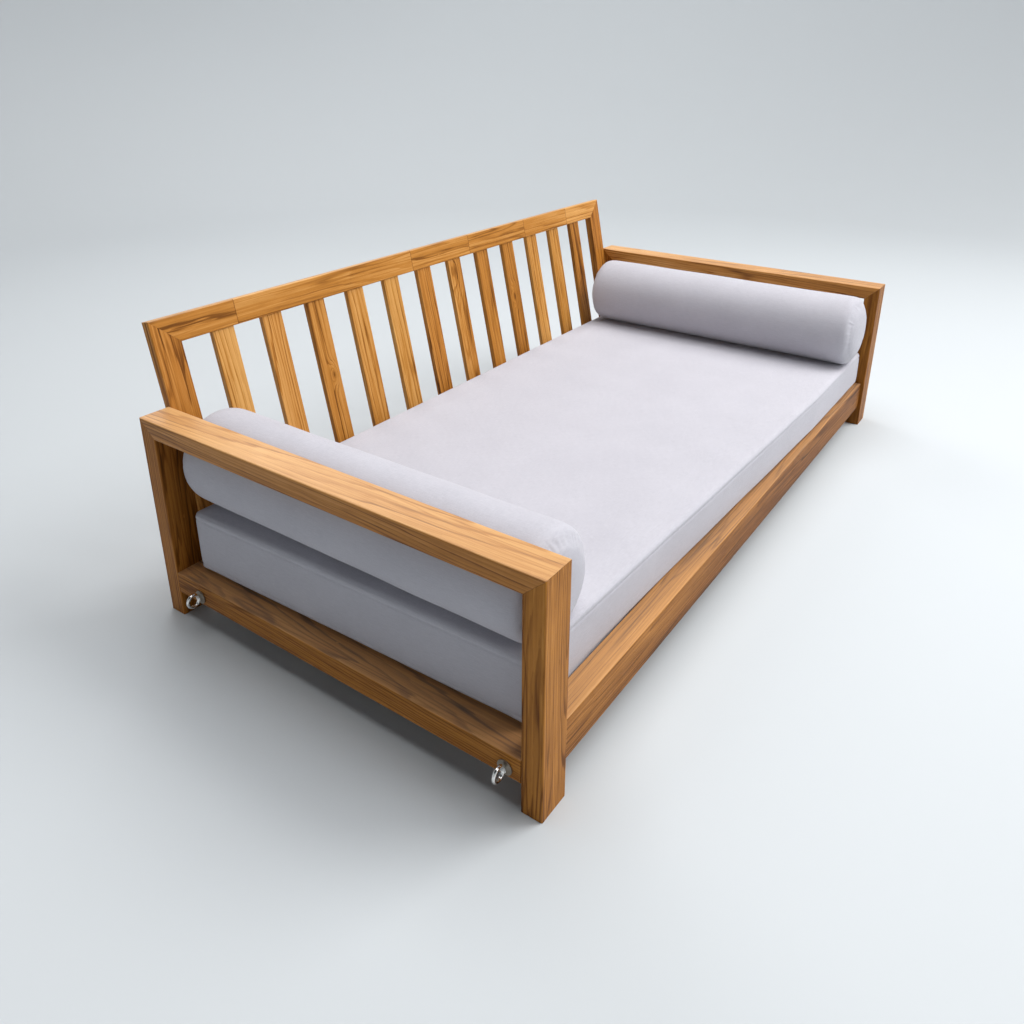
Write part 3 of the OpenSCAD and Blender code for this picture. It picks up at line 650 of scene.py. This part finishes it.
def round_box(co, low, high, edge, plan):
    """Rounds every edge to one radius, then the plan's corners to a larger one."""
    inner_low, inner_high = low + edge, high - edge
    q = np.clip(co, inner_low, inner_high)
    d = co - q
    length = np.linalg.norm(d, axis=1, keepdims=True)
    co = q + d / np.maximum(length, 1e-9) * np.where(length > 1e-9, edge, 0)
    centre, half = (low + high) / 2, (high - low) / 2
    c = np.abs(co[:, :2] - centre[:2]) - (half[:2] - plan)
    both = (c[:, 0] > 0) & (c[:, 1] > 0)
    longest = c.max(axis=1)
    scale = np.where(both, longest / np.maximum(np.linalg.norm(c, axis=1), 1e-9), 1.0)
    sign = np.sign(co[:, :2] - centre[:2])
    bent = centre[:2] + sign * ((half[:2] - plan) + c * scale[:, None])
    co[:, :2] = np.where(both[:, None], bent, co[:, :2])
    return co


def wander(co, scale, seed):
    """Smooth noise from -1 to 1 at each point."""
    return np.array([noise.noise(Vector((p[0] * scale + seed, p[1] * scale, p[2] * scale))) for p in co])


def smooth(t):
    """Smooth step from 0 to 1."""
    t = np.clip(t, 0, 1)
    return t * t * (3 - 2 * t)


def fit_box(co, low, high):
    """Stretches points along each axis to fill a box."""
    have_low, have_high = co.min(axis=0), co.max(axis=0)
    return low + (co - have_low) * (high - low) / (have_high - have_low)


def make_mattress():
    low, high = (np.array(c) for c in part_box("mattress_cover"))
    rail_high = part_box("front_rail")[1]
    low[1] = rail_high[1] + 0.001
    start = np.array((0.004, 0.004, 0.003))
    edge, plan = 0.012, 0.016
    seam_drop = 0.020
    shelf = rail_high[2] + 0.001
    levels = [shelf - low[2] + d for d in (-0.003, 0.0015, 0.004, 0.007, 0.011)]
    piece = box_grid("mattress", low + start, high - start, edge, 0.013, levels)
    set_coordinates(piece.data, round_box(coordinates(piece.data), low + start, high - start, edge, plan))

    def seam_weight(co):
        top = np.abs(co[:, 2] - (high[2] - seam_drop))
        bottom = np.abs(co[:, 2] - (low[2] + seam_drop))
        return 0.9 * np.exp(-((np.minimum(top, bottom) / 0.004) ** 2))

    puff(piece, seam_weight, 3.0, 0.004, 0.007)
    piece.modifiers.new("smooth", "SUBSURF").levels = 1
    apply_modifiers(piece)
    crown = np.array((0.0, 0.0, 0.0025))
    bulge = np.array((0.008, 0.0, 0.0))  # the left end stands proud in its open arm frame
    co = fit_box(coordinates(piece.data), low - crown - bulge, high + crown)

    # Fine seams round the sides, and slow ripples in the top and the front
    out = np.zeros_like(co)
    centre, half = (low + high) / 2, (high - low) / 2
    reach = co[:, :2] - centre[:2]
    on_x = np.abs(reach[:, 0]) - half[0] > np.abs(reach[:, 1]) - half[1]
    out[:, 0] = np.where(on_x, np.sign(reach[:, 0]), 0)
    out[:, 1] = np.where(on_x, 0, np.sign(reach[:, 1]))
    along = np.where(on_x, co[:, 1], co[:, 0])
    on_side = np.minimum(co[:, 2] - low[2], high[2] - co[:, 2]) > 0.004
    for seam in (high[2] - seam_drop, low[2] + seam_drop):
        dz = co[:, 2] - seam
        groove = 0.0015 * np.exp(-((dz / 0.0020) ** 2))
        gather = np.sin(along * 2 * math.pi / 0.021 + 2.5 * wander(co, 9.0, seam * 50))
        pucker = 0.0003 * (gather + 0.4) * np.exp(-((dz / 0.009) ** 2))
        co -= out * ((groove + pucker) * on_side)[:, None]
    co[:, 2] -= 0.0008 * (wander(co, 4.5, 3.1) + 0.5) * (co[:, 2] > high[2] - 0.01)

    # The front swells over the rail, more towards the right, and stays behind the right post
    post_low, post_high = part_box("right_front_post")
    lift = np.clip((co[:, 2] - shelf) / 0.010, 0, 1)
    over_rail = np.sqrt(1 - (1 - lift) ** 2)
    swell_start, swell_slope, swell_most = -0.82, 0.0315, 0.040
    swell = np.clip(swell_slope * (co[:, 0] - swell_start), 0, swell_most)
    swell += 0.0012 * wander(co, 5.0, 7.7)
    behind_post = low[1] - post_high[1] - 0.003
    turn_in, turn_width = 0.016, 0.014  # where the front starts to draw back beside the post
    past = smooth((co[:, 0] - post_low[0] + turn_in) / turn_width)
    swell = swell * (1 - past) + np.minimum(swell, behind_post) * past
    near_front = smooth(1 - (co[:, 1] - low[1]) / 0.16)
    co[:, 1] -= swell * over_rail * near_front

    # The left end is pressed in towards its front corner
    pressed_in, pressed_reach = 0.022, 0.35
    near_left = smooth(1 - (co[:, 0] - low[0]) / pressed_reach)
    forward = np.clip((high[1] - co[:, 1]) / (high[1] - low[1]), 0, 1)
    co[:, 0] += pressed_in * near_left * forward
    co[:, 0] = np.clip(co[:, 0], low[0] - 0.009, high[0] + 0.002)
    co[:, 1] = np.minimum(co[:, 1], high[1] + 0.002)
    co[:, 2] = np.clip(co[:, 2], low[2], high[2])
    set_coordinates(piece.data, co)
    fabric = make_fabric("canvas_mattress", None)
    finish_cushion(piece, "mattress", ("mattress_cover", "mattress_core"), fabric)


def bolster_mesh(name, radius, length, dome, power, place):
    """A closed tube along Y with blunt domed ends; place is the middle of its front end."""
    around = 120
    turn = np.linspace(0, math.pi / 2, 26)
    r_end = radius * np.sin(turn) ** (2 / power)
    t_end = dome * (1 - np.cos(turn) ** (2 / power))
    inner = np.linspace(dome, length - dome, 112)[1:-1]
    t = np.concatenate([t_end, inner, length - t_end[::-1]])[1:-1]
    r = np.concatenate([r_end, np.full(len(inner), radius), r_end[::-1]])[1:-1]
    verts, faces = [], []
    for ring_t, ring_r in zip(t, r):
        for a in range(around):
            angle = 2 * math.pi * a / around
            verts.append(place + Vector((ring_r * math.cos(angle), ring_t, ring_r * math.sin(angle))))
    first, last = len(verts), len(verts) + 1
    verts += [place, place + Vector((0, length, 0))]
    end = (len(t) - 1) * around
    for a in range(around):
        b = (a + 1) % around
        for k in range(len(t) - 1):
            faces.append((k * around + a, k * around + b, (k + 1) * around + b, (k + 1) * around + a))
        faces.append((first, b, a))
        faces.append((last, end + a, end + b))
    return make_object(name, verts, faces)


def make_bolster(side):
    cover = side + "_bolster_cover"
    low, high = (np.array(c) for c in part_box(cover))
    radius = (high[0] - low[0]) / 2
    cx, cz = high[0] - radius, high[2] - radius
    dome, power = 0.052, (3.0 if side == "left" else 3.2)
    seam_at = 0.80  # the end seam's radius, as a share of the bolster's
    slim = 0.99 if side == "left" else 0.98  # the stuffing leaves a cover a little narrower than its solid
    seam_r = seam_at * radius
    seam_t = dome * (1 - (1 - seam_at ** power) ** (1 / power))
    start = 0.003
    place = Vector((cx, low[1] + start, cz))
    length = high[1] - low[1] - 2 * start
    piece = bolster_mesh(side + "_bolster", radius - start, length, dome, power, place)
    remesh = piece.modifiers.new("remesh", "REMESH")
    remesh.mode = "VOXEL"
    remesh.voxel_size = 0.0055
    apply_modifiers(piece)

    def measure(co):
        ring = np.hypot(co[:, 0] - cx, co[:, 2] - cz)
        end = np.minimum(co[:, 1] - low[1], high[1] - co[:, 1])
        return ring, end

    def seam_weight(co):
        ring, end = measure(co)
        return np.where(end < dome * 0.6, np.exp(-(((ring - seam_r) / 0.006) ** 2)), 0)

    puff(piece, seam_weight, 4.0, 0.02, 0.010)
    piece.modifiers.new("smooth", "SUBSURF").levels = 1
    apply_modifiers(piece)
    co = coordinates(piece.data)
    ring, end = measure(co)
    grow = slim * radius / ring[end > 0.2].mean()
    co[:, 0] = cx + (co[:, 0] - cx) * grow
    co[:, 2] = cz - (1 - slim) * radius + (co[:, 2] - cz) * grow
    y_low, y_high = co[:, 1].min(), co[:, 1].max()
    co[:, 1] = low[1] + (co[:, 1] - y_low) * (high[1] - low[1]) / (y_high - y_low)

    # A fine seam round each end, with short folds that run out from it
    ring, end = measure(co)
    angle = np.arctan2(co[:, 2] - cz, co[:, 0] - cx)
    outward = np.stack([np.cos(angle), np.zeros(len(co)), np.sin(angle)], 1)
    axial = np.where(co[:, 1] < (low[1] + high[1]) / 2, -1.0, 1.0)
    slant = smooth(end / dome)
    normal = outward * (0.35 + 0.65 * slant)[:, None]
    normal[:, 1] = axial * (1 - slant) * 0.9
    away = np.hypot(ring - seam_r, end - seam_t)
    near_end = end < 0.12
    groove = 0.0014 * np.exp(-((away / 0.0022) ** 2)) * near_end
    seed = 5.0 if side == "left" else 11.0
    spots = [Vector((math.cos(a) * 4.0 + seed, math.sin(a) * 4.0, s)) for a, s in zip(angle, axial)]
    drift = np.array([noise.noise(p) for p in spots])
    depth = np.array([noise.noise(p * 2.3) for p in spots])
    folds_round = 33
    fold = np.sin(folds_round * angle + 5 * drift)
    outside = ring > seam_r
    reach = np.where(outside, 0.030 + 0.012 * depth, 0.012)
    fade = smooth(1 - away / np.maximum(reach, 0.008)) * smooth(away / 0.005)
    pucker = 0.0007 * (1 + 0.9 * depth) * fold * fade * near_end
    co += normal * (pucker - groove)[:, None]

    # Long soft undulations of the stuffing, and the seam along the back
    soft = wander(co, 7.0, seed)
    co += outward * (0.0012 * soft * (end > 0.03))[:, None]
    back_angle = -0.9 if side == "left" else math.pi + 0.9
    da = (angle - back_angle + math.pi) % (2 * math.pi) - math.pi
    long_seam = 0.0014 * np.exp(-((da * radius / 0.0026) ** 2)) * (end > dome * 0.45)
    co -= outward * long_seam[:, None]
    co[:, 2] = np.clip(co[:, 2], low[2], high[2] + 0.002)
    co[:, 1] = np.clip(co[:, 1], low[1], high[1])
    if side == "left":
        rail_low, rail_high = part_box("left_arm_rail")
        gap = 0.0012
        inner_x, under = rail_high[0] + gap, rail_low[2] - gap
        inside = (co[:, 0] < inner_x) & (co[:, 2] > under)
        to_x, to_z = inner_x - co[:, 0], co[:, 2] - under
        sideways = inside & (to_x <= to_z)
        downwards = inside & (to_x > to_z)
        co[sideways, 0] = inner_x
        co[downwards, 2] = under
    set_coordinates(piece.data, co)
    fabric = make_fabric("canvas_" + side, (cx, cz, radius))
    finish_cushion(piece, side + "_bolster", (cover, side + "_bolster_core"), fabric)


make_mattress()
make_bolster("left")
make_bolster("right")
